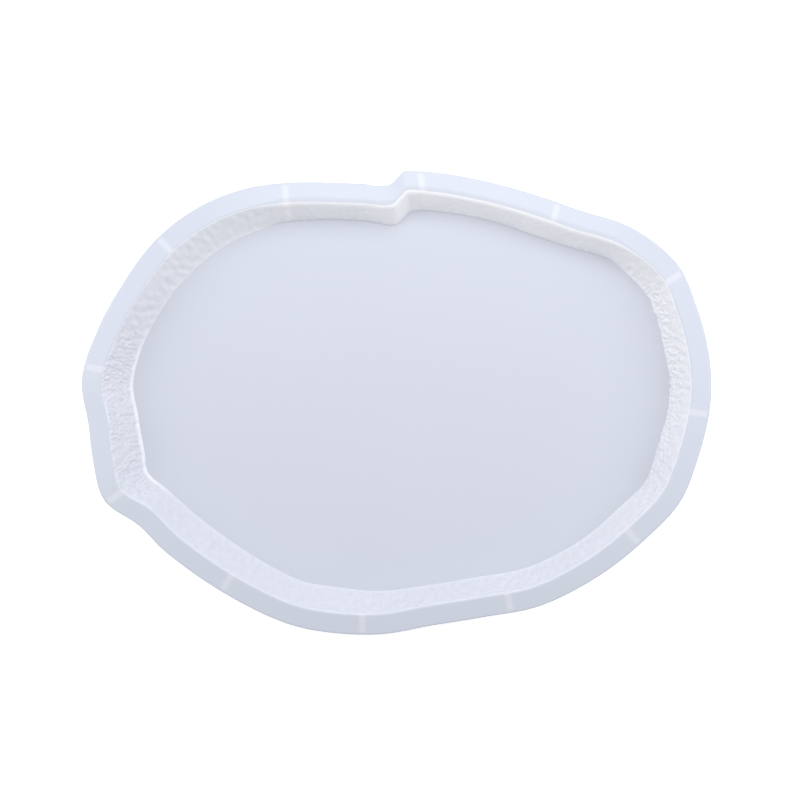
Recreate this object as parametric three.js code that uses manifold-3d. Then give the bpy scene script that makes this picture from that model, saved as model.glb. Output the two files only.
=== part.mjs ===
// A shallow casting mould of soft silicone, in millimetres, with +Z up and its long axis along X.
// A free-form oval cavity with a flat floor and a sloping wall is carried by a flange round its top,
// and upright ribs beneath the flange stand the mould on the same surface as the floor's underside.
// The origin is at the bottom, at the middle of the outer box.
import Module from "manifold-3d";
import * as THREE from "three";
import { ParametricGeometry } from "three/addons/geometries/ParametricGeometry.js";
import { mergeVertices } from "three/addons/utils/BufferGeometryUtils.js";

const wasm = await Module();
wasm.setup();

// Overall sizes.
const OVERALL_LENGTH = 350;
const OVERALL_WIDTH = 258;
const OVERALL_HEIGHT = 22;

// Floor and wall. The wall's thickness is measured level, from its inner face to its outer face.
const FLOOR_THICKNESS = 3;
const WALL_THICKNESS = 3.5;

// Flange. Reach is counted outwards from the lip, the line where the cavity's wall meets the flange.
const FLANGE_WIDTH = 12;
const FLANGE_THICKNESS = 2.5;
const FLANGE_DROOP = 2.2; // fall from the lip to the flange's outer edge
const LIP_CHAMFER = 0.5;
const EDGE_CHAMFER = 0.7;

// Ribs. Their places are shares of the lip's length, anticlockwise from its first station.
const RIB_SHARES = [0.065, 0.146, 0.228, 0.316, 0.395, 0.479, 0.555, 0.64, 0.725, 0.816, 0.9, 0.984];
const RIB_THICKNESS = 3.4;
const RIB_SETBACK = 1.6; // from the flange's outer edge to the rib's
const RIB_TAPER = 3; // how much further in the rib's foot ends than its top
const BOND_GAP = 0.3; // left between a rib and the wall, floor and flange that it is moulded to

const SILICONE_COLOUR = 0xdde1ee;
const SILICONE_ROUGHNESS = 0.45;

// The lip's drawn outline, as [x, y, run] anticlockwise from +X. Run is how far in plan the wall's
// foot lies inside the lip there. The outline is stretched to the overall sizes; the runs are not.
const LIP_STATIONS = [
  [163.5, 10, 9],
  [161.5, 30, 10],
  [155.5, 51, 9],
  [147, 70, 9.5],
  [125, 87, 8],
  [97.5, 96, 8],
  [79, 102.5, 8.5],
  [57, 109, 7.5],
  [32, 114.5, 8],
  [13, 117, 9],
  [5, 117, 10],
  [-3, 109.5, 9.5],
  [-20, 110, 7.5],
  [-62, 110.5, 8.5],
  [-86.5, 106.5, 10.5],
  [-110, 96, 12],
  [-128.5, 81, 12.5],
  [-144, 60, 11.5],
  [-156.5, 37.5, 12.5],
  [-165, 12, 14.5],
  [-161.5, -9, 14],
  [-159, -29, 15],
  [-154.5, -47, 15],
  [-138, -58, 11.5],
  [-122, -73.5, 12.5],
  [-91, -95, 12],
  [-59, -110.5, 11],
  [-38, -115, 11.5],
  [-10, -116, 10],
  [16, -111.5, 8.5],
  [47, -106.5, 8.5],
  [75.5, -101, 8.5],
  [107, -85, 8],
  [131, -66, 8.5],
  [148, -48, 8.5],
  [156.5, -27, 9.5],
  [162, -6, 9],
];
const OUTLINE_STEPS = 168;
const CHORD_SHARE = 0.024; // share of the lip's length from a station to each end of its chord

const LIP_HEIGHT = OVERALL_HEIGHT - LIP_CHAMFER;
const WALL_TOP = flangeUnderside(WALL_THICKNESS);

// The drawn outline as one closed curve, which carries the run as its third coordinate, so that the
// run changes smoothly from station to station.
const drawnLip = new THREE.CatmullRomCurve3(
  LIP_STATIONS.map((station) => new THREE.Vector3(...station)),
  true,
);

const drawnBox = new THREE.Box3().setFromPoints(drawnLip.getSpacedPoints(OUTLINE_STEPS));
const drawnSize = drawnBox.getSize(new THREE.Vector3());
const drawnMiddle = drawnBox.getCenter(new THREE.Vector3());
const stretch = new THREE.Vector3(
  (OVERALL_LENGTH - 2 * FLANGE_WIDTH) / drawnSize.x,
  (OVERALL_WIDTH - 2 * FLANGE_WIDTH) / drawnSize.y,
  0,
);

function lipPoint(share) {
  return drawnLip.getPointAt(THREE.MathUtils.euclideanModulo(share, 1));
}

// The lip at a share of its length, from 0 to 1: its point, its outward direction and its run. The
// direction is square to a chord across the share, so that the flange and the wall's foot turn
// gently past a tight bend and never fold over themselves.
function stationAt(share) {
  const drawn = lipPoint(share);
  const chord = lipPoint(share + CHORD_SHARE).sub(lipPoint(share - CHORD_SHARE)).multiply(stretch);
  return {
    lip: drawn.clone().sub(drawnMiddle).multiply(stretch),
    outward: new THREE.Vector3(chord.y, -chord.x, 0).normalize(),
    run: drawn.z,
  };
}

const stations = Array.from({ length: OUTLINE_STEPS }, (_, step) => stationAt(step / OUTLINE_STEPS));

// How far the wall's inner face lies from the lip at a height: zero at the lip, and the station's
// run inwards at the floor.
function innerReach(station, height) {
  return (-station.run * (LIP_HEIGHT - height)) / (LIP_HEIGHT - FLOOR_THICKNESS);
}

// Height of the flange's top face, which falls evenly from the lip to the outer edge.
function flangeTop(reach) {
  const share = (reach - LIP_CHAMFER) / (FLANGE_WIDTH - LIP_CHAMFER);
  return OVERALL_HEIGHT - FLANGE_DROOP * share;
}

function flangeUnderside(reach) {
  return flangeTop(reach) - FLANGE_THICKNESS;
}

function pointAt(station, reach, height) {
  return station.lip.clone().addScaledVector(station.outward, reach).setZ(height);
}

// A closed ring: a section of [reach, height] corners, which may differ from station to station,
// carried once round the lip.
function makeRing(sectionAt) {
  const sections = stations.map(sectionAt);
  const corners = sections[0].length;
  function surface(along, around, target) {
    const index = Math.round(along * OUTLINE_STEPS) % OUTLINE_STEPS;
    const corner = Math.round(around * corners) % corners;
    target.copy(pointAt(stations[index], ...sections[index][corner]));
  }
  return new ParametricGeometry(surface, OUTLINE_STEPS, corners);
}

function wallSection(station) {
  const foot = innerReach(station, FLOOR_THICKNESS);
  const top = innerReach(station, WALL_TOP);
  return [
    [foot, FLOOR_THICKNESS],
    [foot + WALL_THICKNESS, FLOOR_THICKNESS],
    [top + WALL_THICKNESS, WALL_TOP],
    [top, WALL_TOP],
  ];
}

// The flange's section starts at its foot on the wall's inner face and runs out level over the wall,
// down the sloping underside, up the chamfered outer edge and back along the top to the lip.
function flangeSection(station) {
  const turn = FLANGE_WIDTH - EDGE_CHAMFER;
  return [
    [innerReach(station, WALL_TOP), WALL_TOP],
    [WALL_THICKNESS, WALL_TOP],
    [turn, flangeUnderside(turn)],
    [FLANGE_WIDTH, flangeUnderside(FLANGE_WIDTH) + EDGE_CHAMFER],
    [FLANGE_WIDTH, flangeTop(FLANGE_WIDTH) - EDGE_CHAMFER],
    [turn, flangeTop(turn)],
    [LIP_CHAMFER, OVERALL_HEIGHT],
    [0, LIP_HEIGHT],
  ];
}

// The floor is a flat plate that reaches to the outer face of the wall standing on it.
function makeFloor() {
  const edge = stations.map((station) =>
    pointAt(station, innerReach(station, FLOOR_THICKNESS) + WALL_THICKNESS, 0),
  );
  const outline = new THREE.Shape(edge.map((point) => new THREE.Vector2(point.x, point.y)));
  return new THREE.ExtrudeGeometry(outline, { depth: FLOOR_THICKNESS, bevelEnabled: false });
}

// The space that a rib keeps clear of: the wall and the floor's edge, grown outwards by the gap.
function bondSection(station) {
  const foot = innerReach(station, FLOOR_THICKNESS);
  const top = innerReach(station, WALL_TOP);
  const clear = WALL_THICKNESS + BOND_GAP;
  return [
    [foot, -BOND_GAP],
    [foot + clear, -BOND_GAP],
    [foot + clear, FLOOR_THICKNESS],
    [top + clear, WALL_TOP],
    [top, WALL_TOP],
    [foot, FLOOR_THICKNESS],
  ];
}

// A rib's side view, with x as reach and y as height: from inside the wall out along the flange's
// underside, down its own tapered outer edge and back along the ground.
function ribOutline(station) {
  const wallMiddle = innerReach(station, FLOOR_THICKNESS) + WALL_THICKNESS / 2;
  const topMiddle = innerReach(station, WALL_TOP) + WALL_THICKNESS / 2;
  const outerTop = FLANGE_WIDTH - RIB_SETBACK;
  return new THREE.Shape([
    new THREE.Vector2(wallMiddle, 0),
    new THREE.Vector2(outerTop - RIB_TAPER, 0),
    new THREE.Vector2(outerTop, flangeUnderside(outerTop) - BOND_GAP),
    new THREE.Vector2(WALL_THICKNESS, WALL_TOP - BOND_GAP),
    new THREE.Vector2(topMiddle, WALL_TOP - BOND_GAP),
    new THREE.Vector2(wallMiddle, FLOOR_THICKNESS),
  ]);
}

function solidOf(geometry) {
  const bare = geometry.clone();
  bare.deleteAttribute("normal");
  bare.deleteAttribute("uv");
  const merged = mergeVertices(bare);
  const vertProperties = merged.attributes.position.array;
  const triVerts = new Uint32Array(merged.index.array);
  return new wasm.Manifold(new wasm.Mesh({ numProp: 3, vertProperties, triVerts }));
}

function geometryOf(solid) {
  const mesh = solid.getMesh();
  const geometry = new THREE.BufferGeometry();
  geometry.setAttribute("position", new THREE.BufferAttribute(mesh.vertProperties, 3));
  geometry.setIndex(new THREE.BufferAttribute(mesh.triVerts, 1));
  geometry.computeVertexNormals();
  return geometry;
}

// Turns reach, height and the direction along the lip into the mould's own axes at a station.
function placementAt(station) {
  const up = new THREE.Vector3(0, 0, 1);
  const across = new THREE.Vector3().crossVectors(station.outward, up);
  const placement = new THREE.Matrix4().makeBasis(station.outward, up, across);
  return placement.setPosition(station.lip);
}

// An upright plate across the flange, cut to the wall and the floor's edge beside it.
function makeRib(station, bondSpace) {
  const options = { depth: RIB_THICKNESS, bevelEnabled: false };
  const plate = new THREE.ExtrudeGeometry(ribOutline(station), options);
  plate.translate(0, 0, -RIB_THICKNESS / 2);
  const placement = placementAt(station);
  const cut = solidOf(plate.applyMatrix4(placement)).subtract(bondSpace);
  return geometryOf(cut).applyMatrix4(placement.invert());
}

function makeSilicone() {
  return new THREE.MeshStandardMaterial({
    color: SILICONE_COLOUR,
    roughness: SILICONE_ROUGHNESS,
    metalness: 0,
  });
}

function addPiece(group, name, geometry) {
  const piece = new THREE.Mesh(geometry, makeSilicone());
  piece.name = name;
  group.add(piece);
  return piece;
}

const mould = new THREE.Group();
addPiece(mould, "cavity_floor", makeFloor());
addPiece(mould, "cavity_wall", makeRing(wallSection));
addPiece(mould, "top_flange", makeRing(flangeSection));

const bondSpace = solidOf(makeRing(bondSection));
RIB_SHARES.forEach((share, index) => {
  const station = stationAt(share);
  const name = "stiffening_rib_" + String(index + 1).padStart(2, "0");
  const rib = addPiece(mould, name, makeRib(station, bondSpace));
  rib.applyMatrix4(placementAt(station));
});

export default mould;
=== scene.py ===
"""A free-form silicone casting mould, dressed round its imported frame.

Sizes inside the script are metres, in the frame's own axes: +X along the mould, +Y to its back and
+Z up. The lip is the line where the cavity's wall meets the flange. Reach is counted level and
outwards from the lip, and a column is one upright cut through the mould, square to the lip.
"""

from math import radians

import bpy
import numpy as np
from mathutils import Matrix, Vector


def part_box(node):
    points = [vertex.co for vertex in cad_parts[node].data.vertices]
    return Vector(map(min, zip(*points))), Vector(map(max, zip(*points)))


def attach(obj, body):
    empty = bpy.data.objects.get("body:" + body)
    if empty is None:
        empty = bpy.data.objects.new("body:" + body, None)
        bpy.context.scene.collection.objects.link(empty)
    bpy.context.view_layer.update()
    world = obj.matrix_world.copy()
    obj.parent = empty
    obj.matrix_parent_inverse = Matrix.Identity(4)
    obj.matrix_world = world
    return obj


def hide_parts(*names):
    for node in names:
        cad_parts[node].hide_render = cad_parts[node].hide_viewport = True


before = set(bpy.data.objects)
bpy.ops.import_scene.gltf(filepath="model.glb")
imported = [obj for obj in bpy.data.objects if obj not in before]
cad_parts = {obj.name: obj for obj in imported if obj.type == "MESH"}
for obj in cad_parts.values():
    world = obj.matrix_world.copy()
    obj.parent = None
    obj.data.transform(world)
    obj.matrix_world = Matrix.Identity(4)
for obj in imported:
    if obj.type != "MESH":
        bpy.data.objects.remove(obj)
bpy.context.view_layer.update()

bl_info = {
    "name": "Casting mould",
    "version": (1, 0, 0),
    "blender": (4, 5, 0),
    "location": "3D View > Sidebar > Mould",
    "description": "Builds a free-form silicone casting mould with a rough cavity wall and ribs",
    "category": "Add Mesh",
}

BODY = "root"
RIB_NODES = sorted(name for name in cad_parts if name.startswith("stiffening_rib"))

# Corners of the frame closer in height than this are on one level.
SAME_LEVEL = 1e-5
# Columns between two neighbouring corners of the frame's outline: on smooth pieces, and at the
# smoothest and the roughest places of the wall.
SMOOTH_COLUMNS = 4
WALL_COLUMNS = 6.5
ROUGH_COLUMNS = 19.0
# Rows from the floor to the lip on the wall's inner face, and rows round each half of the lip.
WALL_ROWS = 46
LIP_ROWS = 5
# Rings of the floor plate, how far out the first and the last lie, the radius of its rounded edge
# as a share of its thickness, and the rows of each half of that edge.
FLOOR_RINGS = 14
FLOOR_RING_SHARES = (0.08, 0.97)
FLOOR_CORNER = 0.4
FLOOR_CORNER_ROWS = 6
# Rows of the wall's outer face.
OUTER_ROWS = 8
# Rows over the flange: across its top, round its outer edge and back along its underside.
TOP_ROWS = 22
EDGE_ROWS = 14
UNDER_ROWS = 10
# Points along each side of a rib's side view, and how far a rib sinks into what it is moulded to.
RIB_POINTS = 26
RIB_SUNK = 0.0002
# A rib shows through the silicone as far in as so many times its outer reach.
RIB_SHOWS_IN = 3.0

# Angles in radians above which two faces meet in a sharp edge: on the wall and on other pieces.
WALL_CREASE = 1.2
SMOOTH_CREASE = 1.0

# Half the angle over which the wall's rough and smooth parts run into one another.
SECTOR_SOFT = radians(4.0)
# Waves that make soft hills, and the limits of their pace.
HILL_WAVES = 40
HILL_PACES = (0.6, 1.4)
# How sharply a ridge falls away on both sides of its crest.
RIDGE_SHARPNESS = 1.5
# Parts that long ridges, short ridges and chips have in the crystals' height.
CRYSTAL_PARTS = (0.45, 0.35, 0.2)
# Spacings of short ridges and chips, along the lip and up the slope, in ridge widths.
SHORT_RIDGE = (0.7, 0.8)
CHIP = (0.5, 0.7)
# Spacings of the folds and of the front's rough patches, in fold sizes, and the height at which a
# patch is at its roughest.
FOLD = (1.0, 1.6)
PATCH = (3.0, 2.0)
PATCH_FULL = 1.2
# Shares of the wall's height between which the right wall's ridges fade out.
RIGHT_RIDGES_END = (0.55, 0.75)
# Multiples of the foot band between which it ends and the left wall's ridges begin.
BAND_END = (0.5, 1.1)
# Height given to the band where there is none, so that a height can be divided by it.
NO_BAND = 0.0001
# Shares of the wall's height where the folds are full and where they start to fade to the lip, and
# how much of them is lost at the lip and on the smooth back wall.
FOLDS_FULL = 0.06
FOLDS_FADE = 0.9
FOLDS_LOST_AT_LIP = 0.6
FOLDS_LOST_AT_BACK = 0.7
# Shares of the wall's height next to its foot and its lip where the relief only moves it level.
LEVEL_AT_FOOT = 0.08
LEVEL_AT_LIP = 0.10
# Share of the wall's height that the fillet at its foot climbs.
FILLET_CLIMB = 0.16
# Strengths of the dark line at the back wall's foot and of the wide shade above it.
LINE_STRENGTH = 0.5
WIDE_STRENGTH = 0.2
# Chip depth that is left where the wall is smooth, as a share of the deepest.
LEAST_CHIPS = 0.1
# Share of the wall's height next to its foot and its lip over which the scatter fades out.
SCATTER_FADE = 0.1
# Reach at which the flange stops following the wall's relief, in lip rounds.
JAG_END = 1.5
# Reaches between which the flange loses the wall's colour, painted light at the rounded back lip, in back
# lip rounds.
PAINTED_LIP_LIGHT = (-0.5, 1.4)

# Refractive index of silicone rubber.
SILICONE_IOR = 1.41
# How far clouds in a colour stray from it: on smooth faces and on the rough wall.
SMOOTH_CLOUDS = 0.012
ROUGH_CLOUDS = 0.02
# Grain of a smooth face, and chips and points on the rough wall: their number to the metre and
# their depth in metres.
GRAIN_SCALE = 900.0
GRAIN_DEPTH = 0.00002
CHIP_SCALE = 600.0
CHIP_DEPTH = 0.0002
POINT_SCALE = 1500.0
POINT_DEPTH = 0.00004
POINT_STRENGTH = 0.5
# Roughness of each kind of face at its shiniest and at its dullest, and such spots to the metre.
FLOOR_ROUGHNESS = (0.34, 0.42)
WALL_ROUGHNESS = (0.20, 0.34)
FLANGE_ROUGHNESS = (0.26, 0.34)
RIB_ROUGHNESS = (0.36, 0.46)
ROUGHNESS_SCALE = 90.0
# How far red, green and blue light sinks in, as multiples of the scatter depth.
SCATTER_RADIUS = (1.0, 1.0, 1.1)

# Height at which the view is as wide as the view width.
RIM_LEVEL = 0.0185
# Where the camera stands over the mould, along X and Y.
CAMERA_PLACE = (0.0019, 0.00144)
SENSOR_WIDTH = 36.0
SOFTBOX_SIDE = 0.5
GROUND_HALF_SIDE = 6.0
GROUND_LEVEL = -0.0002


# ---------------- sizes and colours


def number_property(name, description, default, **settings):
    """A number that the panel shows, of the kind that the settings say."""
    return bpy.props.FloatProperty(name=name, description=description, default=default, **settings)


def length_property(name, description, default, least=0.0):
    """A length in metres."""
    return number_property(name, description, default, min=least, unit="LENGTH")


def angle_property(name, description, degrees):
    """A bearing or another angle."""
    return number_property(name, description, radians(degrees), unit="ROTATION")


def share_property(name, description, default, least=0.0):
    """A share, up to 1."""
    return number_property(name, description, default, min=least, max=1.0, subtype="FACTOR")


def power_property(name, description, default):
    """The power of a light in watts."""
    return number_property(name, description, default, min=0.0, unit="POWER")


def colour_property(name, description, default):
    """A colour as three linear parts."""
    return bpy.props.FloatVectorProperty(
        name=name,
        description=description,
        default=default,
        size=3,
        min=0.0,
        max=1.0,
        subtype="COLOR",
    )


class MouldShape(bpy.types.PropertyGroup):
    """Sizes of the surface detail that the frame leaves out, and where on the wall it lies.

    Bearings are about the mould's middle, counted from +X towards +Y.
    """

    ridge_width: length_property(
        "Ridge width",
        "Spacing, along the lip, of the crystal ridges on the cavity's wall",
        0.0060,
        0.0006,
    )
    ridge_length: length_property(
        "Ridge length", "Length of the crystal ridges, up the wall's slope", 0.0085, 0.001
    )
    ridge_height: length_property(
        "Ridge height", "How far the ridges stand out of the wall where it is roughest", 0.00042
    )
    fold_size: length_property(
        "Fold size", "Width of the soft folds that run all round the wall", 0.0060, 0.002
    )
    fold_height: length_property(
        "Fold height", "How far the soft folds stand out of the wall", 0.00012
    )
    left_middle: angle_property(
        "Left middle", "Bearing of the middle of the rough left wall", 183.0
    )
    left_half: angle_property(
        "Left half", "Half the bearing that the rough left wall takes up", 19.0
    )
    right_middle: angle_property(
        "Right middle", "Bearing of the middle of the rough right wall", 2.0
    )
    right_half: angle_property(
        "Right half", "Half the bearing that the rough right wall takes up", 23.0
    )
    back_middle: angle_property(
        "Back middle", "Bearing of the middle of the smooth back wall", 78.0
    )
    back_half: angle_property(
        "Back half", "Half the bearing that the smooth back wall takes up", 45.0
    )
    # Bearing of the wall's painted light: the wall is coloured whitest here, towards the lit back and
    # right.
    lit_bearing: angle_property("Thick bearing", "Bearing where the wall looks whitest", 68.0)
    front_relief: share_property(
        "Front relief", "Share of the ridges' height that is left on the front wall", 0.22
    )
    back_relief: share_property(
        "Back relief", "Share of the ridges' height that is left on the smooth back wall", 0.04
    )
    foot_band: length_property(
        "Foot band", "Height, up the slope, of the smooth band at the left wall's foot", 0.0029
    )
    foot_fillet: length_property(
        "Foot fillet", "Reach over the floor of the hollow fillet at the front wall's foot", 0.0006
    )
    lip_round: length_property(
        "Lip round", "Length of rounding on either side of the lip", 0.0012, 0.0002
    )
    back_lip_round: length_property(
        "Back lip round", "Length of rounding that the smooth back wall's lip has on top of that", 0.0026
    )
    rim_round: length_property(
        "Rim round", "Radius of the flange's full-round outer edge, half its thickness", 0.00125, 0.0005
    )
    rib_round: length_property("Rib round", "Radius along a rib's free edges", 0.0008, 0.0002)
    rib_fillet: length_property(
        "Rib fillet", "Radius of the hollow fillet where a rib meets the wall and the flange", 0.0012
    )
    # Painted light: the flange's rounded back lip takes on the wall's whiter colour in place of its
    # shade.
    lip_light_mix: share_property(
        "Lip mix", "How far the flange takes on the wall's colour at the rounded back lip", 0.3
    )
    shade_height: share_property(
        "Shade height",
        "Height, as a share of the wall's, of the dark line at the back wall's foot",
        0.13,
        0.01,
    )
    rib_soft: length_property(
        "Rib softness",
        "Half the width of the soft edges of a rib seen through the silicone",
        0.0006,
        0.0001,
    )
    seed: bpy.props.IntProperty(
        name="Seed",
        description="Start of the random draws that place the ridges and folds",
        default=7,
        min=0,
    )


class MouldColours(bpy.types.PropertyGroup):
    """Colours of the silicone, whiter over the thick ribs and greyer at the thin flange edge, with
    painted light and shade on the wall and at the back lip.
    """

    floor: colour_property("Floor", "Colour of the cavity's floor", (0.596, 0.615, 0.677))
    wall: colour_property("Wall", "Colour of the cavity's rough wall", (0.70, 0.71, 0.767))
    # Painted light: the wall's colour on its lit back and right side, whiter than on its shaded front.
    painted_light_wall: colour_property(
        "Thick wall", "Colour of the wall on its whiter side, to the back and the right", (1.0, 0.99, 1.0)
    )
    wall_rib: colour_property(
        "Wall over a rib",
        "Colour of the smooth back wall where a rib stands behind it",
        (0.99, 0.955, 0.96),
    )
    foot_shade: colour_property(
        "Foot shade", "Colour of the dark line at the back wall's foot", (0.58, 0.60, 0.67)
    )
    # A painted highlight: the smooth band at the left wall's foot is coloured lighter where light catches
    # it.
    foot: colour_property(
        "Foot", "Colour of the smooth band at the left wall's foot", (0.86, 0.87, 0.92)
    )
    flange: colour_property(
        "Flange", "Colour of the flange and of the mould's outer faces", (0.600, 0.624, 0.695)
    )
    rib: colour_property("Rib", "Colour where a rib thickens the silicone", (0.678, 0.690, 0.748))
    thin_edge: colour_property(
        "Thin edge", "Colour of the flange's thin outer edge", (0.572, 0.592, 0.663)
    )
    scatter: share_property("Scatter", "Share of the light that sinks into the silicone", 0.6)
    scatter_depth: length_property("Scatter depth", "How deep the light sinks in", 0.0006)


class StageSettings(bpy.types.PropertyGroup):
    """The floor that the mould stands on, its lights and its camera."""

    daylight: colour_property(
        "Daylight", "Colour of all the light, faintly cool", (0.955, 0.97, 1.0)
    )
    ground: colour_property("Ground", "Colour of the pale ground", (0.95, 0.95, 0.95))
    ground_glow: number_property(
        "Ground glow", "Light that the ground gives off, which keeps it even and pale", 0.42, min=0.0
    )
    sky: number_property("Sky", "Strength of the even light from all round", 0.615, min=0.0)
    back_light: power_property(
        "Back light", "Power of the large soft light above and behind the mould", 2.2
    )
    side_light: power_property(
        "Side light", "Power of each of the soft lights above and beside the mould", 1.95
    )
    camera_height: length_property(
        "Camera height", "Height of the camera straight above the mould", 1.1, 0.3
    )
    view_width: length_property(
        "View width", "Width of the view at the flange's height", 0.4445, 0.1
    )


# ---------------- the frame's outline


def node_corners(node):
    """The corners of a CAD node's loose triangles, one row each."""
    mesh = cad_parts[node].data
    corners = np.empty(len(mesh.vertices) * 3, np.float32)
    mesh.vertices.foreach_get("co", corners)
    return corners.reshape(-1, 3).astype(float)


def levels_of(node):
    """The heights of a node's corners, lowest first."""
    return np.unique(node_corners(node)[:, 2].round(5))


def loop_at(node, height):
    """A node's corners on one level, once each in plan, in order of bearing about the origin."""
    corners = node_corners(node)
    level = corners[np.abs(corners[:, 2] - height) < SAME_LEVEL]
    plan = np.unique(level[:, :2].round(6), axis=0)
    return plan[np.argsort(np.arctan2(plan[:, 1], plan[:, 0]))]


def spread(loop):
    """A loop's size: the mean distance of its corners from the origin."""
    return np.linalg.norm(loop, axis=1).mean()


def paired(loop, partner):
    """The loop, turned in its own order until its corners lie nearest to the partner's."""
    turns = range(-len(loop) // 8, len(loop) // 8)
    apart = [np.linalg.norm(np.roll(loop, turn, axis=0) - partner, axis=1).sum() for turn in turns]
    return np.roll(loop, turns[int(np.argmin(apart))], axis=0)


def curve_at(loop, places):
    """Points of the closed Catmull-Rom curve through a loop, at places counted in its corners."""
    corner = np.floor(places).astype(int)
    share = (places - corner)[:, None]
    before, here, after, beyond = (loop[(corner + step) % len(loop)] for step in (-1, 0, 1, 2))
    curve = 2 * here + (after - before) * share
    curve = curve + (2 * before - 5 * here + 4 * after - beyond) * share**2
    curve = curve + (3 * here - before - 3 * after + beyond) * share**3
    return curve / 2


def smooth_step(low, high, value):
    """0 below low, 1 above high, and a smooth rise between them."""
    share = np.clip((value - low) / (high - low), 0.0, 1.0)
    return share * share * (3.0 - 2.0 * share)


def sector(plan, middle, half, soft=SECTOR_SOFT):
    """1 for points whose bearing is within a sector and 0 outside it, with soft ends."""
    bearing = np.arctan2(plan[:, 1], plan[:, 0])
    off = np.abs((bearing - middle + np.pi) % (2.0 * np.pi) - np.pi)
    return 1.0 - smooth_step(half - soft, half + soft, off)


def sectors(plan):
    """How much each point belongs to the rough left, the rough right and the smooth back wall."""
    shape = bpy.context.scene.mould_shape
    left = sector(plan, shape.left_middle, shape.left_half)
    right = sector(plan, shape.right_middle, shape.right_half)
    back = sector(plan, shape.back_middle, shape.back_half)
    return left, right, back


class Outline:
    """The mould's columns, read off the frame: lip, outward direction, run and distance along."""

    def __init__(self, plain, rough):
        """Columns lie plain to the corner where the wall is smooth and rough where it is rough."""
        flange_levels = levels_of("top_flange")
        self.top = flange_levels[-1]
        self.lip_height = flange_levels[-2]
        self.floor_top = levels_of("cavity_floor")[-1]
        self.wall_top = levels_of("cavity_wall")[-1]
        lip = loop_at("top_flange", self.lip_height)
        rim = max((loop_at("top_flange", level) for level in flange_levels), key=spread)
        crest = loop_at("top_flange", self.top)
        brink = loop_at("top_flange", flange_levels[-3])
        edge = loop_at("cavity_floor", self.floor_top)
        feet = loop_at("cavity_wall", self.floor_top)
        on_edge = np.linalg.norm(feet[:, None] - edge[None], axis=2).min(axis=1) < SAME_LEVEL
        foot = feet[~on_edge]
        self.crest_reach, brink_reach = (
            np.linalg.norm(paired(loop, lip) - lip, axis=1).mean() for loop in (crest, brink)
        )
        self.fall = (self.top - flange_levels[-3]) / (brink_reach - self.crest_reach)
        left, right, _ = sectors(lip)
        each = plain + (rough - plain) * np.maximum(left, right)
        ends = np.concatenate([[0.0], np.cumsum(each)])
        count = int(ends[-1])
        places = np.interp(np.arange(count) / count * ends[-1], ends, np.arange(len(lip) + 1))
        self.lip = curve_at(lip, places)
        outward = curve_at(paired(rim, lip), places) - self.lip
        self.flange_width = np.linalg.norm(outward, axis=1).mean()
        self.outward = outward / np.linalg.norm(outward, axis=1, keepdims=True)
        foot_curve = curve_at(paired(foot, lip), places)
        edge_curve = curve_at(paired(edge, lip), places)
        self.run = ((self.lip - foot_curve) * self.outward).sum(axis=1)
        self.wall_thickness = np.linalg.norm(edge_curve - foot_curve, axis=1).mean()
        steps = np.linalg.norm(np.roll(self.lip, -1, axis=0) - self.lip, axis=1)
        self.length = steps.sum()
        self.along = np.cumsum(steps) - steps
        self.rise = self.lip_height - self.floor_top
        self.slope = np.hypot(self.rise, self.run)

    def inner_reach(self, height):
        """Reach of the wall's inner face at a height: zero at the lip, minus the run at the floor."""
        return -self.run * (self.lip_height - height) / self.rise

    def outer_reach(self, height):
        """Reach of the wall's outer face at a height."""
        return self.inner_reach(height) + self.wall_thickness

    def points(self, reach, height):
        """Points of a grid of columns by rows, from a reach and a height for each of them."""
        plan = self.lip[:, None, :] + self.outward[:, None, :] * reach[:, :, None]
        level = np.broadcast_to(height, reach.shape)[:, :, None]
        return np.concatenate([plan, level], axis=2)

    def top_height(self, reach):
        """Height of the flange's top, which falls evenly from its crest at the lip."""
        return self.top - self.fall * np.clip(reach - self.crest_reach, 0.0, None)

    def sunk_under(self, reach, depth):
        """The reach and height of points so deep beneath the flange's top, square to it."""
        angle = np.arctan(self.fall)
        return reach - depth * np.sin(angle), self.top_height(reach) - depth * np.cos(angle)

    def lip_bend(self, share):
        """The rounded lip, from the wall at share 0 to the flange at share 1.

        In words: a quadratic curve whose middle corner is where the wall's slope would meet the
        level of the crest, and whose ends lie one rounding length down the wall and out on the top.
        """
        shape = bpy.context.scene.mould_shape
        back = sectors(self.lip)[2][:, None]
        length = shape.lip_round + shape.back_lip_round * back
        corner = (self.run * (self.top - self.lip_height) / self.rise)[:, None]
        down_reach = corner - length * (self.run / self.slope)[:, None]
        down_height = self.top - length * (self.rise / self.slope)[:, None]
        start = (1.0 - share) ** 2
        middle = 2.0 * share * (1.0 - share)
        end = share**2
        out_reach = corner + length
        reach = down_reach * start + corner * middle + out_reach * end
        height = down_height * start + self.top * middle + self.top_height(out_reach) * end
        return reach, height


# ---------------- meshes


def ring_faces(columns, rows, closed_rows=True):
    """Four-cornered faces of a grid that closes on itself along its columns, and round its rows."""
    index = np.arange(columns * rows).reshape(columns, rows)
    ahead = np.roll(index, -1, axis=0)
    faces = np.stack([index, np.roll(index, -1, axis=1), np.roll(ahead, -1, axis=1), ahead], axis=-1)
    if not closed_rows:
        faces = faces[:, :-1]
    return faces.reshape(-1, 4)


def mesh_of(name, points, faces):
    """A smooth mesh from points and from faces that all have the same number of corners."""
    mesh = bpy.data.meshes.new(name)
    mesh.vertices.add(len(points))
    mesh.vertices.foreach_set("co", np.ascontiguousarray(points, np.float32).ravel())
    mesh.loops.add(faces.size)
    mesh.loops.foreach_set("vertex_index", faces.astype(np.int32).ravel())
    mesh.polygons.add(len(faces))
    starts = np.arange(0, faces.size, faces.shape[1], dtype=np.int32)
    mesh.polygons.foreach_set("loop_start", starts)
    mesh.update(calc_edges=True)
    mesh.shade_smooth()
    return mesh


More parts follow.
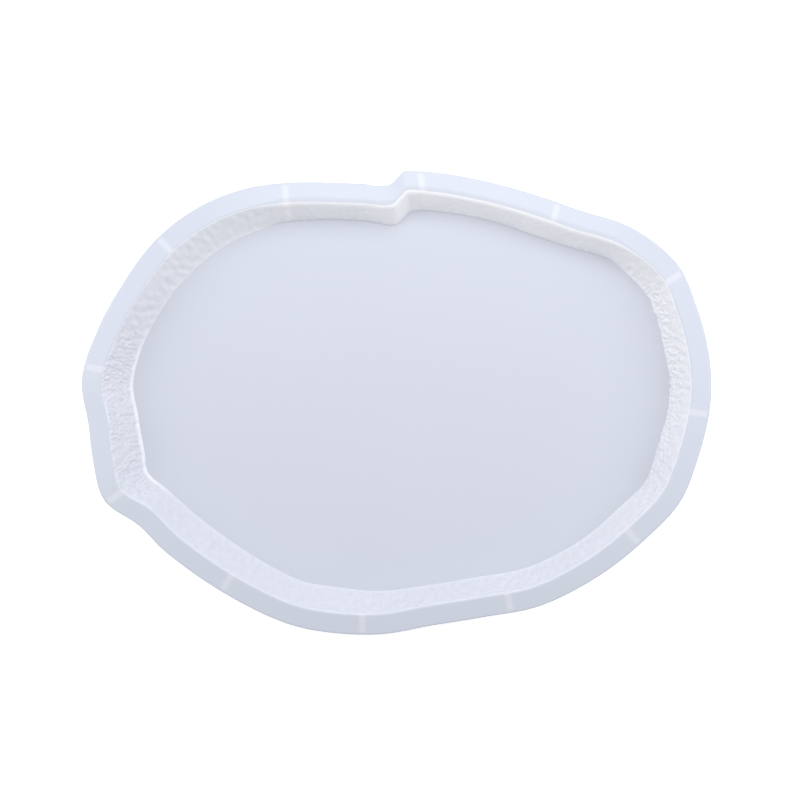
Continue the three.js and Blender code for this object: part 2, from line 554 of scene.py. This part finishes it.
def keep_attribute(mesh, name, values):
    """Stores one number for each point of the mesh under a name that a material can read."""
    attribute = mesh.attributes.new(name, "FLOAT", "POINT")
    attribute.data.foreach_set("value", np.ascontiguousarray(values, np.float32).ravel())


def place_piece(name, mesh, material, slot, *nodes):
    """Links a finished mesh as a piece that rides on the body and stands for its CAD nodes."""
    if not len(mesh.polygons):
        raise RuntimeError(f"{name} has no faces")
    piece = bpy.data.objects.new(name, mesh)
    bpy.context.scene.collection.objects.link(piece)
    mesh.materials.append(material)
    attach(piece, BODY)
    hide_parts(*nodes)
    return piece


# ---------------- ribs seen through the silicone


class Rib:
    """One rib, read off its CAD node: its column, thickness and the reaches of its outer edge."""

    def __init__(self, node, outline):
        low, high = (np.array(corner)[:2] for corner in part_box(node))
        offset = (low + high) / 2.0 - outline.lip
        beside = np.abs(outline.outward[:, 0] * offset[:, 1] - outline.outward[:, 1] * offset[:, 0])
        far = np.linalg.norm(offset, axis=1) > outline.flange_width
        self.column = int(np.argmin(beside + far))
        self.lip = outline.lip[self.column]
        self.outward = outline.outward[self.column]
        self.across = np.array([-self.outward[1], self.outward[0]])
        corners = node_corners(node)
        reach = (corners[:, :2] - self.lip) @ self.outward
        side = (corners[:, :2] - self.lip) @ self.across
        self.thickness = np.ptp(side)
        self.top_reach = reach.max()
        self.foot_reach = reach[corners[:, 2] < SAME_LEVEL].max()

    def shadow(self, points, soft):
        """1 where a point lies over or beside the rib, falling to 0 across a soft edge."""
        plan = points[..., :2] - self.lip
        side = np.abs(plan @ self.across)
        reach = plan @ self.outward
        near = 1.0 - smooth_step(self.thickness / 2 - soft, self.thickness / 2 + soft, side)
        within = 1.0 - smooth_step(self.top_reach - soft, self.top_reach + soft, reach)
        return near * within * (reach > -RIB_SHOWS_IN * self.top_reach)


def rib_light(points, outline):
    """The strongest of all the ribs' shadows at each point."""
    soft = bpy.context.scene.mould_shape.rib_soft
    return np.max([Rib(node, outline).shadow(points, soft) for node in RIB_NODES], axis=0)


# ---------------- the cast relief


def soft_hills(along, up, length, width, height, draws):
    """Smooth random hills of spread one, on a band that closes on its length.

    In words: a sum of waves of random heading, pace and phase, whose spacing is about the width
    along the band and about the height up it.
    """
    hills = np.zeros(along.shape)
    for _ in range(HILL_WAVES):
        heading = draws.uniform(0.0, 2.0 * np.pi)
        pace = draws.uniform(*HILL_PACES)
        turns = np.round(pace * np.cos(heading) * length / width)
        climb = pace * np.sin(heading) / height
        phase = draws.uniform(0.0, 2.0 * np.pi)
        hills += np.cos(2.0 * np.pi * (turns * along / length + climb * up) + phase)
    return hills * np.sqrt(2.0 / HILL_WAVES)


def ridges(along, up, length, width, height, draws):
    """Sharp wandering crests up to 1 with soft hollows down to -1, where hills pass through zero."""
    hills = soft_hills(along, up, length, width, height, draws)
    return 2.0 * np.exp(-RIDGE_SHARPNESS * np.abs(hills)) - 1.0


def wall_relief(outline, shares):
    """How far the cavity's wall stands out at each column and share of its height, in metres.

    In words: soft folds all round, plus crystal ridges that are strongest on the left wall, keep to
    the lower part of the right wall and come in patches at the front. The ridges fade out in a
    smooth band along the left wall's foot.
    """
    shape = bpy.context.scene.mould_shape
    draws = np.random.default_rng(shape.seed)
    along = np.repeat(outline.along[:, None], len(shares), axis=1)
    up = np.repeat((shares * outline.slope.mean())[None, :], len(outline.along), axis=0)
    band = (along, up, outline.length)
    width, height = shape.ridge_width, shape.ridge_length
    folds = soft_hills(*band, *(part * shape.fold_size for part in FOLD), draws)
    long_ridges = ridges(*band, width, height, draws)
    short_ridges = ridges(*band, *(part * width for part in SHORT_RIDGE), draws)
    chips = soft_hills(*band, *(part * width for part in CHIP), draws)
    patches = soft_hills(*band, *(part * shape.fold_size for part in PATCH), draws)
    left, right, back = (part[:, None] for part in sectors(outline.lip))
    plain = shape.front_relief * smooth_step(0.0, PATCH_FULL, patches)
    plain = plain * (1.0 - back) + shape.back_relief * back
    lower = 1.0 - smooth_step(*RIGHT_RIDGES_END, shares)[None, :]
    above_foot = smooth_step(*BAND_END, up / (shape.foot_band * left + NO_BAND))
    strength = left * above_foot + right * lower + plain * (1.0 - left) * (1.0 - right)
    long_part, short_part, chip_part = CRYSTAL_PARTS
    crystals = long_part * long_ridges + short_part * short_ridges + chip_part * chips
    crystals = shape.ridge_height * crystals
    near_lip = FOLDS_LOST_AT_LIP * smooth_step(FOLDS_FADE, 1.0, shares)
    ends = smooth_step(0.0, FOLDS_FULL, shares)[None, :] * (1.0 - near_lip)
    hills = shape.fold_height * folds * (1.0 - FOLDS_LOST_AT_BACK * back)
    return crystals * strength + hills * ends


# ---------------- materials


class NodeTree:
    """A small hand for wiring a material's nodes."""

    def __init__(self, name):
        self.material = bpy.data.materials.new(name)
        self.material.use_nodes = True
        self.tree = self.material.node_tree
        self.tree.nodes.clear()
        self.place = self.node("ShaderNodeTexCoord").outputs["Object"]

    def node(self, kind, **settings):
        """A new node with its settings."""
        made = self.tree.nodes.new(kind)
        for key, value in settings.items():
            setattr(made, key, value)
        return made

    def link(self, source, target):
        """Wires one socket to another."""
        self.tree.links.new(source, target)

    def attribute(self, name):
        """The number kept under a name on the mesh."""
        return self.node("ShaderNodeAttribute", attribute_name=name).outputs["Fac"]

    def noise(self, scale, detail=2.0):
        """Soft noise on the piece's own coordinates, with so many features to the metre."""
        made = self.node("ShaderNodeTexNoise")
        made.inputs["Scale"].default_value = scale
        made.inputs["Detail"].default_value = detail
        self.link(self.place, made.inputs["Vector"])
        return made.outputs["Fac"]

    def cells(self, scale):
        """Distance to the middles of random cells, with so many cells to the metre."""
        made = self.node("ShaderNodeTexVoronoi")
        made.inputs["Scale"].default_value = scale
        self.link(self.place, made.inputs["Vector"])
        return made.outputs["Distance"]

    def range_of(self, value, low, high):
        """The value, from 0 and 1, brought to a range."""
        made = self.node("ShaderNodeMapRange")
        self.link(value, made.inputs["Value"])
        made.inputs["To Min"].default_value = low
        made.inputs["To Max"].default_value = high
        return made.outputs["Result"]

    def mixed(self, share, first, second):
        """A mix of two colours, each a colour or a socket, by a share."""
        made = self.node("ShaderNodeMix", data_type="RGBA")
        self.link(share, made.inputs["Factor"])
        for socket, colour in ((made.inputs[6], first), (made.inputs[7], second)):
            if isinstance(colour, bpy.types.NodeSocket):
                self.link(colour, socket)
            else:
                socket.default_value = (*colour, 1.0)
        return made.outputs[2]

    def bump(self, height, depth, strength=1.0, under=None):
        """A bump of a height in metres, over another bump if one is given."""
        made = self.node("ShaderNodeBump")
        made.inputs["Distance"].default_value = depth
        made.inputs["Strength"].default_value = strength
        self.link(height, made.inputs["Height"])
        if under is not None:
            self.link(under, made.inputs["Normal"])
        return made.outputs["Normal"]


def silicone(tree, colour, roughness, normal, scatter=None):
    """Finishes a tree as milky silicone: a soft gloss over a cool white that light sinks into.

    The scatter is a socket that says how much of the light sinks in; without it none does.
    """
    colours = bpy.context.scene.mould_colours
    shader = tree.node("ShaderNodeBsdfPrincipled")
    tree.link(colour, shader.inputs["Base Color"])
    spots = tree.range_of(tree.noise(ROUGHNESS_SCALE), *roughness)
    tree.link(spots, shader.inputs["Roughness"])
    tree.link(normal, shader.inputs["Normal"])
    shader.inputs["IOR"].default_value = SILICONE_IOR
    if scatter is not None:
        tree.link(tree.range_of(scatter, 0.0, colours.scatter), shader.inputs["Subsurface Weight"])
    shader.inputs["Subsurface Radius"].default_value = SCATTER_RADIUS
    shader.inputs["Subsurface Scale"].default_value = colours.scatter_depth
    output = tree.node("ShaderNodeOutputMaterial")
    tree.link(shader.outputs["BSDF"], output.inputs["Surface"])
    return tree.material


def faint_clouds(colour, change):
    """A slightly darker and a slightly lighter version of a colour."""
    dark = tuple(part * (1.0 - change) for part in colour)
    light = tuple(min(1.0, part * (1.0 + change)) for part in colour)
    return dark, light


def grain(tree):
    """The faint grain of a smooth face."""
    return tree.bump(tree.noise(GRAIN_SCALE), GRAIN_DEPTH)


def floor_material():
    """Smooth satin silicone with faint clouds."""
    colours = bpy.context.scene.mould_colours
    tree = NodeTree("silicone_floor")
    colour = tree.mixed(tree.noise(14.0), *faint_clouds(colours.floor, SMOOTH_CLOUDS))
    return silicone(tree, colour, FLOOR_ROUGHNESS, grain(tree))


def wall_material():
    """Silicone cast on broken stone: fine chips, painted light on the back and right side, a painted
    highlight on the left foot band and painted shade at the back foot.
    """
    colours = bpy.context.scene.mould_colours
    tree = NodeTree("silicone_rough_wall")
    # Painted light by bearing: this attribute mixes the shaded side's colour towards the whiter lit side.
    thickness = tree.attribute("thickness")
    shaded_side_dark, shaded_side_light = faint_clouds(colours.wall, ROUGH_CLOUDS)
    lit_side_dark, lit_side_light = faint_clouds(colours.painted_light_wall, ROUGH_CLOUDS)
    dark = tree.mixed(thickness, shaded_side_dark, lit_side_dark)
    light = tree.mixed(thickness, shaded_side_light, lit_side_light)
    clouds = tree.mixed(tree.noise(260.0, 3.0), dark, light)
    ribbed = tree.mixed(tree.attribute("rib_light"), clouds, colours.wall_rib)
    shaded = tree.mixed(tree.attribute("foot_shade"), ribbed, colours.foot_shade)
    # Painted highlight on the smooth band at the left wall's foot.
    colour = tree.mixed(tree.attribute("smooth_foot_and_highlight"), shaded, colours.foot)
    chips = tree.bump(tree.cells(CHIP_SCALE), CHIP_DEPTH)
    tree.link(tree.attribute("roughness"), chips.node.inputs["Strength"])
    normal = tree.bump(tree.noise(POINT_SCALE), POINT_DEPTH, POINT_STRENGTH, chips)
    return silicone(tree, colour, WALL_ROUGHNESS, normal, tree.attribute("depth"))


def flange_material():
    """Smooth silicone that is lighter over the ribs and greyer at its thin outer edge, with painted light
    at the rounded back lip.
    """
    colours = bpy.context.scene.mould_colours
    tree = NodeTree("silicone_flange")
    clouds = tree.mixed(tree.noise(25.0), *faint_clouds(colours.flange, SMOOTH_CLOUDS))
    ribbed = tree.mixed(tree.attribute("rib_light"), clouds, colours.rib)
    edged = tree.mixed(tree.attribute("thin_edge"), ribbed, colours.thin_edge)
    # Painted light at the back lip: the flange takes on the wall's whiter colour there.
    colour = tree.mixed(tree.attribute("painted_lip_light"), edged, colours.painted_light_wall)
    return silicone(tree, colour, FLANGE_ROUGHNESS, grain(tree))


def rib_material():
    """Smooth silicone, whiter because a rib is seen in its thickness."""
    colours = bpy.context.scene.mould_colours
    tree = NodeTree("silicone_rib")
    colour = tree.mixed(tree.noise(60.0), *faint_clouds(colours.rib, SMOOTH_CLOUDS))
    return silicone(tree, colour, RIB_ROUGHNESS, grain(tree))


# ---------------- pieces


class MOULD_OT_floor(bpy.types.Operator):
    """Make the cavity's flat floor plate"""

    bl_idname = "mould.floor"
    bl_label = "Cavity floor"

    def execute(self, context):
        """A plate whose every ring is the floor's edge drawn in towards the middle.

        In words: a section of (share of the way out, height) is carried once round the edge. It
        starts at the middle of the top, turns a quarter circle at each edge and ends at the middle
        of the underside, and a fan of three-cornered faces closes the middle of each side.
        """
        outline = Outline(SMOOTH_COLUMNS, SMOOTH_COLUMNS)
        reach = outline.outer_reach(outline.floor_top)[:, None]
        edge = outline.lip + outline.outward * reach
        thickness = outline.floor_top
        corner = FLOOR_CORNER * thickness
        quarter = np.linspace(0.0, np.pi / 2, FLOOR_CORNER_ROWS)
        share_in = np.linspace(*FLOOR_RING_SHARES, FLOOR_RINGS)
        inset_half = np.concatenate([np.zeros(FLOOR_RINGS), corner * (1.0 - np.sin(quarter))])
        share_half = np.concatenate([share_in, np.ones(len(quarter))])
        sunk_half = np.concatenate([np.zeros(FLOOR_RINGS), corner * (1.0 - np.cos(quarter))])
        share = np.concatenate([share_half, share_half[::-1]])
        inset = np.concatenate([inset_half, inset_half[::-1]])
        height = np.concatenate([thickness - sunk_half, sunk_half[::-1]])
        plan = edge[:, None, :] * share[None, :, None]
        plan = plan - outline.outward[:, None, :] * inset[None, :, None]
        columns, rows = plan.shape[:2]
        level = np.broadcast_to(height[None, :, None], (columns, rows, 1))
        points = np.concatenate([plan, level], axis=2).reshape(-1, 3)
        middles = np.array([[0.0, 0.0, thickness], [0.0, 0.0, 0.0]])
        first = np.arange(columns) * rows
        last = first + rows - 1
        top_middle = np.full(columns, len(points))
        quads = ring_faces(columns, rows, closed_rows=False)
        top_fan = np.stack([top_middle, first, np.roll(first, -1)], axis=1)
        under_fan = np.stack([top_middle + 1, np.roll(last, -1), last], axis=1)
        faces = [*quads.tolist(), *top_fan.tolist(), *under_fan.tolist()]
        mesh = bpy.data.meshes.new("cavity_floor_plate")
        mesh.from_pydata(np.concatenate([points, middles]).tolist(), [], faces)
        mesh.shade_smooth()
        place_piece("cavity_floor_plate", mesh, floor_material(), "silicone_floor", "cavity_floor")
        return {"FINISHED"}


class MOULD_OT_wall(bpy.types.Operator):
    """Make the cavity's rough sloping wall"""

    bl_idname = "mould.wall"
    bl_label = "Rough wall"

    def execute(self, context):
        """A ring whose inner face is the straight slope from floor to lip, moved by the relief.

        In words: the relief moves the inner face square to the slope. At the foot and at the lip it
        moves it only level, so that the foot stays on the floor, and a hollow fillet reaches over
        the floor at the front. The top follows the first half of the rounded lip. The outer face is
        smooth.
        """
        shape = context.scene.mould_shape
        outline = Outline(WALL_COLUMNS, ROUGH_COLUMNS)
        bend_reach, bend_height = outline.lip_bend(np.linspace(0.0, 0.5, LIP_ROWS)[None, :])
        rows = np.linspace(0.0, 1.0, WALL_ROWS)[None, :]
        face_height = outline.floor_top + rows * (bend_height[:, :1] - outline.floor_top)
        face_reach = -outline.run[:, None] * (outline.lip_height - face_height) / outline.rise
        nominal_reach = np.concatenate([face_reach, bend_reach[:, 1:]], axis=1)
        nominal_height = np.concatenate([face_height, bend_height[:, 1:]], axis=1)
        shares = (nominal_height - outline.floor_top).mean(axis=0) / outline.rise
        relief = wall_relief(outline, np.minimum(shares, 1.0))
        level_part = outline.rise / outline.slope[:, None]
        upright_part = outline.run[:, None] / outline.slope[:, None]
        ends = smooth_step(0.0, LEVEL_AT_FOOT, shares)
        ends = ends * smooth_step(0.0, LEVEL_AT_LIP, 1.0 - shares)
        left, right, back = sectors(outline.lip)
        front = 1.0 - np.maximum(np.maximum(left, right), back)
        climb = np.clip(1.0 - shares / FILLET_CLIMB, 0.0, 1.0)
        fillet = shape.foot_fillet * front[:, None] * climb**2
        inner_reach = nominal_reach - relief * level_part - fillet
        inner_height = nominal_height + relief * upright_part * ends[None, :]
        down = np.linspace(0.0, 1.0, OUTER_ROWS)[None, :]
        outer_height = outline.wall_top * (1.0 - down) + outline.floor_top * down
        outer_height = np.repeat(outer_height, len(outline.run), axis=0)
        outer_top = outline.outer_reach(outline.wall_top)[:, None]
        outer_foot = outline.outer_reach(outline.floor_top)[:, None]
        outer_reach = outer_top * (1.0 - down) + outer_foot * down
        reach = np.concatenate([inner_reach, outer_reach], axis=1)
        points = outline.points(reach, np.concatenate([inner_height, outer_height], axis=1))
        mesh = mesh_of("rough_cavity_wall", points.reshape(-1, 3), ring_faces(*points.shape[:2]))
        mesh.set_sharp_from_angle(angle=WALL_CREASE)
        keep_attribute(mesh, "rib_light", back[:, None] * rib_light(points, outline))
        # Painted light: the wall is coloured whiter towards the lit bearing, following the cosine of the
        # bearing.
        bearing = np.arctan2(outline.lip[:, 1], outline.lip[:, 0])
        lit_side = (0.5 + 0.5 * np.cos(bearing - shape.lit_bearing)) ** 2
        keep_attribute(mesh, "thickness", np.repeat(lit_side, points.shape[1]))
        all_shares = np.concatenate([shares, np.ones(down.shape[1])])[None, :]
        up = all_shares * outline.slope.mean()
        line = 1.0 - smooth_step(0.0, shape.shade_height, all_shares)
        wide = (1.0 - all_shares) ** 2
        foot_shade = back[:, None] * (LINE_STRENGTH * line + WIDE_STRENGTH * wide)
        keep_attribute(mesh, "foot_shade", foot_shade)
        # Mask of the smooth band at the left wall's foot: it smooths the chips, and in the wall's colour
        # it carries a painted highlight.
        smooth_foot_and_highlight = left[:, None] * (1.0 - smooth_step(*BAND_END, up / shape.foot_band))
        keep_attribute(mesh, "smooth_foot_and_highlight", smooth_foot_and_highlight)
        strength = np.maximum(left, right)[:, None] + shape.front_relief * front[:, None]
        roughness = LEAST_CHIPS + (1.0 - LEAST_CHIPS) * strength
        keep_attribute(mesh, "roughness", roughness * (1.0 - smooth_foot_and_highlight))
        from_foot = smooth_step(0.0, SCATTER_FADE, all_shares)
        inside = from_foot * smooth_step(0.0, SCATTER_FADE, 1.0 - all_shares)
        keep_attribute(mesh, "depth", np.repeat(inside, len(outline.run), axis=0))
        place_piece("rough_cavity_wall", mesh, wall_material(), "silicone_rough_wall", "cavity_wall")
        return {"FINISHED"}


class MOULD_OT_flange(bpy.types.Operator):
    """Make the smooth flange round the cavity's mouth"""

    bl_idname = "mould.flange"
    bl_label = "Flange"

    def execute(self, context):
        """A ring with an evenly falling top, a full-round outer edge and a parallel underside.

        In words: the section starts in the middle of the rounded lip, follows the top out to where
        the round edge begins, goes half round it and comes back parallel to the top, as far as the
        wall's outer top.
        """
        shape = context.scene.mould_shape
        outline = Outline(WALL_COLUMNS, ROUGH_COLUMNS)
        columns = len(outline.run)
        radius = shape.rim_round
        fall_angle = np.arctan(outline.fall)
        turn = outline.flange_width - radius + radius * np.sin(fall_angle)
        bend_reach, bend_height = outline.lip_bend(np.linspace(0.5, 1.0, LIP_ROWS)[None, :])
        share = np.linspace(0.0, 1.0, TOP_ROWS)[None, 1:]
        top_reach = bend_reach[:, -1:] + (turn - bend_reach[:, -1:]) * share
        middle_reach, middle_height = outline.sunk_under(turn, radius)
        angles = np.linspace(np.pi / 2, -np.pi / 2, EDGE_ROWS)[1:] - fall_angle
        under_from = np.linspace(turn, outline.wall_thickness, UNDER_ROWS)[1:]
        under_reach, under_height = outline.sunk_under(under_from, 2.0 * radius)
        edge_reach = np.concatenate([middle_reach + radius * np.cos(angles), under_reach])
        edge_height = np.concatenate([middle_height + radius * np.sin(angles), under_height])
        edge_rows = np.ones((columns, 1))
        reach = np.concatenate([bend_reach, top_reach, edge_rows * edge_reach[None, :]], axis=1)
        top_height = outline.top_height(top_reach)
        height = np.concatenate([bend_height, top_height, edge_rows * edge_height[None, :]], axis=1)
        jag = wall_relief(outline, np.linspace(0.0, 1.0, WALL_ROWS))[:, -1:]
        jag = jag * outline.rise / outline.slope[:, None]
        on_top = np.arange(reach.shape[1])[None, :] < bend_reach.shape[1] + top_reach.shape[1]
        jag_left = 1.0 - smooth_step(0.0, JAG_END * shape.lip_round, reach)
        reach = reach - jag * jag_left * on_top
        wall_reach = outline.outer_reach(outline.wall_top)[:, None]
        reach = np.concatenate([reach, wall_reach], axis=1)
        height = np.concatenate([height, np.full((columns, 1), outline.wall_top)], axis=1)
        points = outline.points(reach, height)
        mesh = mesh_of("smooth_flange", points.reshape(-1, 3), ring_faces(*points.shape[:2]))
        mesh.set_sharp_from_angle(angle=SMOOTH_CREASE)
        keep_attribute(mesh, "rib_light", rib_light(points, outline))
        keep_attribute(mesh, "thin_edge", smooth_step(turn, outline.flange_width, reach))
        # Painted light at the rounded back lip, fading out away from the lip.
        back = sectors(outline.lip)[2][:, None]
        low, high = (part * shape.back_lip_round for part in PAINTED_LIP_LIGHT)
        near_lip = 1.0 - smooth_step(low, high, reach)
        keep_attribute(mesh, "painted_lip_light", shape.lip_light_mix * back * near_lip)
        place_piece("smooth_flange", mesh, flange_material(), "silicone_flange", "top_flange")
        return {"FINISHED"}


class MOULD_OT_ribs(bpy.types.Operator):
    """Make the upright ribs beneath the flange"""

    bl_idname = "mould.ribs"
    bl_label = "Ribs"

    def execute(self, context):
        outline = Outline(WALL_COLUMNS, ROUGH_COLUMNS)
        material = rib_material()
        for node in RIB_NODES:
            self.make_rib(context, outline, Rib(node, outline), node, material)
        return {"FINISHED"}

    def make_rib(self, context, outline, rib, node, material):
        """A plate given by its half thickness over its side view.

        In words: along its free edges the half thickness follows a quarter circle down to nothing,
        and towards the wall and the flange it widens in a hollow fillet. The two sides are the same
        grid moved to either side of the middle plane.
        """
        shape = context.scene.mould_shape
        bunched = np.sin(np.linspace(0.0, 1.0, RIB_POINTS) * np.pi / 2)
        out_share = bunched[:, None]
        up_share = (1.0 - bunched[::-1])[None, :]
        nominal = up_share * outline.wall_top
        run = outline.run[rib.column]
        slope_share = (outline.lip_height - np.maximum(nominal, outline.floor_top)) / outline.rise
        start = outline.wall_thickness - run * slope_share - RIB_SUNK
        end = rib.foot_reach + (rib.top_reach - rib.foot_reach) * up_share
        reach = start + (end - start) * out_share
        ceiling = outline.top_height(reach) - 2.0 * shape.rim_round + RIB_SUNK
        height = up_share * ceiling
        free = np.minimum(end - reach, height)
        bonded = np.minimum(reach - start, ceiling - height)
        rounding = np.clip(free / shape.rib_round, 0.0, 1.0)
        hollow = np.clip(1.0 - (bonded - RIB_SUNK) / shape.rib_fillet, 0.0, 1.0)
        half = rib.thickness / 2 - shape.rib_round * (1.0 - np.sqrt(1.0 - (1.0 - rounding) ** 2))
        half = half + shape.rib_fillet * (1.0 - np.sqrt(1.0 - hollow**2)) * rounding**4
        sides = []
        for sign in (-1.0, 1.0):
            plan = rib.lip + reach[..., None] * rib.outward + sign * half[..., None] * rib.across
            sides.append(np.concatenate([plan, height[..., None]], axis=2))
        columns, rows = reach.shape
        index = np.arange(columns * rows).reshape(columns, rows)
        grid = np.stack([index[:-1, :-1], index[1:, :-1], index[1:, 1:], index[:-1, 1:]], axis=-1)
        grid = grid.reshape(-1, 4)
        border = np.concatenate([index[:, 0], index[-1, 1:], index[-2::-1, -1], index[0, -2:0:-1]])
        ahead = np.roll(border, -1)
        band = np.stack([ahead, border, border + index.size, ahead + index.size], axis=1)
        faces = np.concatenate([grid, grid[:, ::-1] + index.size, band])
        points = np.concatenate([side.reshape(-1, 3) for side in sides])
        name = node.replace("stiffening_rib", "moulded_rib")
        mesh = mesh_of(name, points, faces)
        mesh.set_sharp_from_angle(angle=SMOOTH_CREASE)
        place_piece(name, mesh, material, "silicone_rib", node)


class MOULD_OT_stage(bpy.types.Operator):
    """Set the ground, the lights and the camera"""

    bl_idname = "mould.stage"
    bl_label = "Stage"

    def execute(self, context):
        settings = context.scene.stage_settings
        self.make_ground(context, settings)
        self.make_lights(context, settings)
        self.make_camera(context, settings)
        context.scene.view_settings.view_transform = "Standard"
        return {"FINISHED"}

    def make_ground(self, context, settings):
        """A wide pale sheet just beneath the mould."""
        corners = np.array([(-1, -1), (1, -1), (1, 1), (-1, 1)]) * GROUND_HALF_SIDE
        points = np.concatenate([corners, np.full((4, 1), GROUND_LEVEL)], axis=1)
        mesh = mesh_of("ground", points, np.array([[0, 1, 2, 3]]))
        material = bpy.data.materials.new("pale_ground")
        material.use_nodes = True
        shader = material.node_tree.nodes["Principled BSDF"]
        shader.inputs["Base Color"].default_value = (*settings.ground, 1.0)
        shader.inputs["Roughness"].default_value = 0.9
        shader.inputs["Specular IOR Level"].default_value = 0.0
        shader.inputs["Emission Color"].default_value = (1.0, 1.0, 1.0, 1.0)
        shader.inputs["Emission Strength"].default_value = settings.ground_glow
        mesh.materials.append(material)
        ground = bpy.data.objects.new("ground", mesh)
        context.scene.collection.objects.link(ground)

    def make_lights(self, context, settings):
        """Even light from all round, and softboxes that face the mould from above."""
        world = bpy.data.worlds.new("soft_room")
        world.use_nodes = True
        background = world.node_tree.nodes["Background"]
        background.inputs["Color"].default_value = (*settings.daylight, 1.0)
        background.inputs["Strength"].default_value = settings.sky
        context.scene.world = world
        boxes = (
            ("back_light", settings.back_light, (0.05, 0.40, 0.60)),
            ("right_light", settings.side_light, (0.70, 0.15, 0.50)),
            ("left_light", settings.side_light, (-0.70, 0.15, 0.50)),
        )
        for name, power, place in boxes:
            self.make_softbox(context, settings, name, power, place)

    def make_softbox(self, context, settings, name, power, place):
        """A square soft light at a place, turned to the middle of the mould."""
        lamp = bpy.data.lights.new(name, "AREA")
        lamp.energy = power
        lamp.color = settings.daylight
        lamp.size = SOFTBOX_SIDE
        softbox = bpy.data.objects.new(name, lamp)
        softbox.location = place
        softbox.rotation_euler = (-softbox.location).to_track_quat("-Z", "Y").to_euler()
        context.scene.collection.objects.link(softbox)

    def make_camera(self, context, settings):
        """A camera looking straight down, as wide as the view width at the flange's height."""
        lens = bpy.data.cameras.new("camera")
        lens.sensor_width = SENSOR_WIDTH
        distance = settings.camera_height - RIM_LEVEL
        lens.lens = lens.sensor_width * distance / settings.view_width
        camera = bpy.data.objects.new("camera", lens)
        camera.location = (*CAMERA_PLACE, settings.camera_height)
        context.scene.collection.objects.link(camera)
        context.scene.camera = camera


class MOULD_PT_panel(bpy.types.Panel):
    """The mould's pieces, sizes and colours"""

    bl_idname = "MOULD_PT_panel"
    bl_label = "Casting mould"
    bl_space_type = "VIEW_3D"
    bl_region_type = "UI"
    bl_category = "Mould"

    def draw(self, context):
        layout = self.layout
        for step in STEPS:
            layout.operator(step.bl_idname)
        scene = context.scene
        for group in (scene.mould_shape, scene.mould_colours, scene.stage_settings):
            box = layout.box()
            for key in group.bl_rna.properties.keys():
                if key not in ("rna_type", "name"):
                    box.prop(group, key)


STEPS = (MOULD_OT_stage, MOULD_OT_floor, MOULD_OT_wall, MOULD_OT_flange, MOULD_OT_ribs)
CLASSES = (MouldShape, MouldColours, StageSettings, *STEPS, MOULD_PT_panel)


def register():
    for cls in CLASSES:
        bpy.utils.register_class(cls)
    bpy.types.Scene.mould_shape = bpy.props.PointerProperty(type=MouldShape)
    bpy.types.Scene.mould_colours = bpy.props.PointerProperty(type=MouldColours)
    bpy.types.Scene.stage_settings = bpy.props.PointerProperty(type=StageSettings)


def unregister():
    del bpy.types.Scene.stage_settings
    del bpy.types.Scene.mould_colours
    del bpy.types.Scene.mould_shape
    for cls in reversed(CLASSES):
        bpy.utils.unregister_class(cls)


def main():
    """Registers the classes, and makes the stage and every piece."""
    register()
    bpy.ops.mould.stage()
    bpy.ops.mould.floor()
    bpy.ops.mould.wall()
    bpy.ops.mould.flange()
    bpy.ops.mould.ribs()


if __name__ == "__main__":
    main()
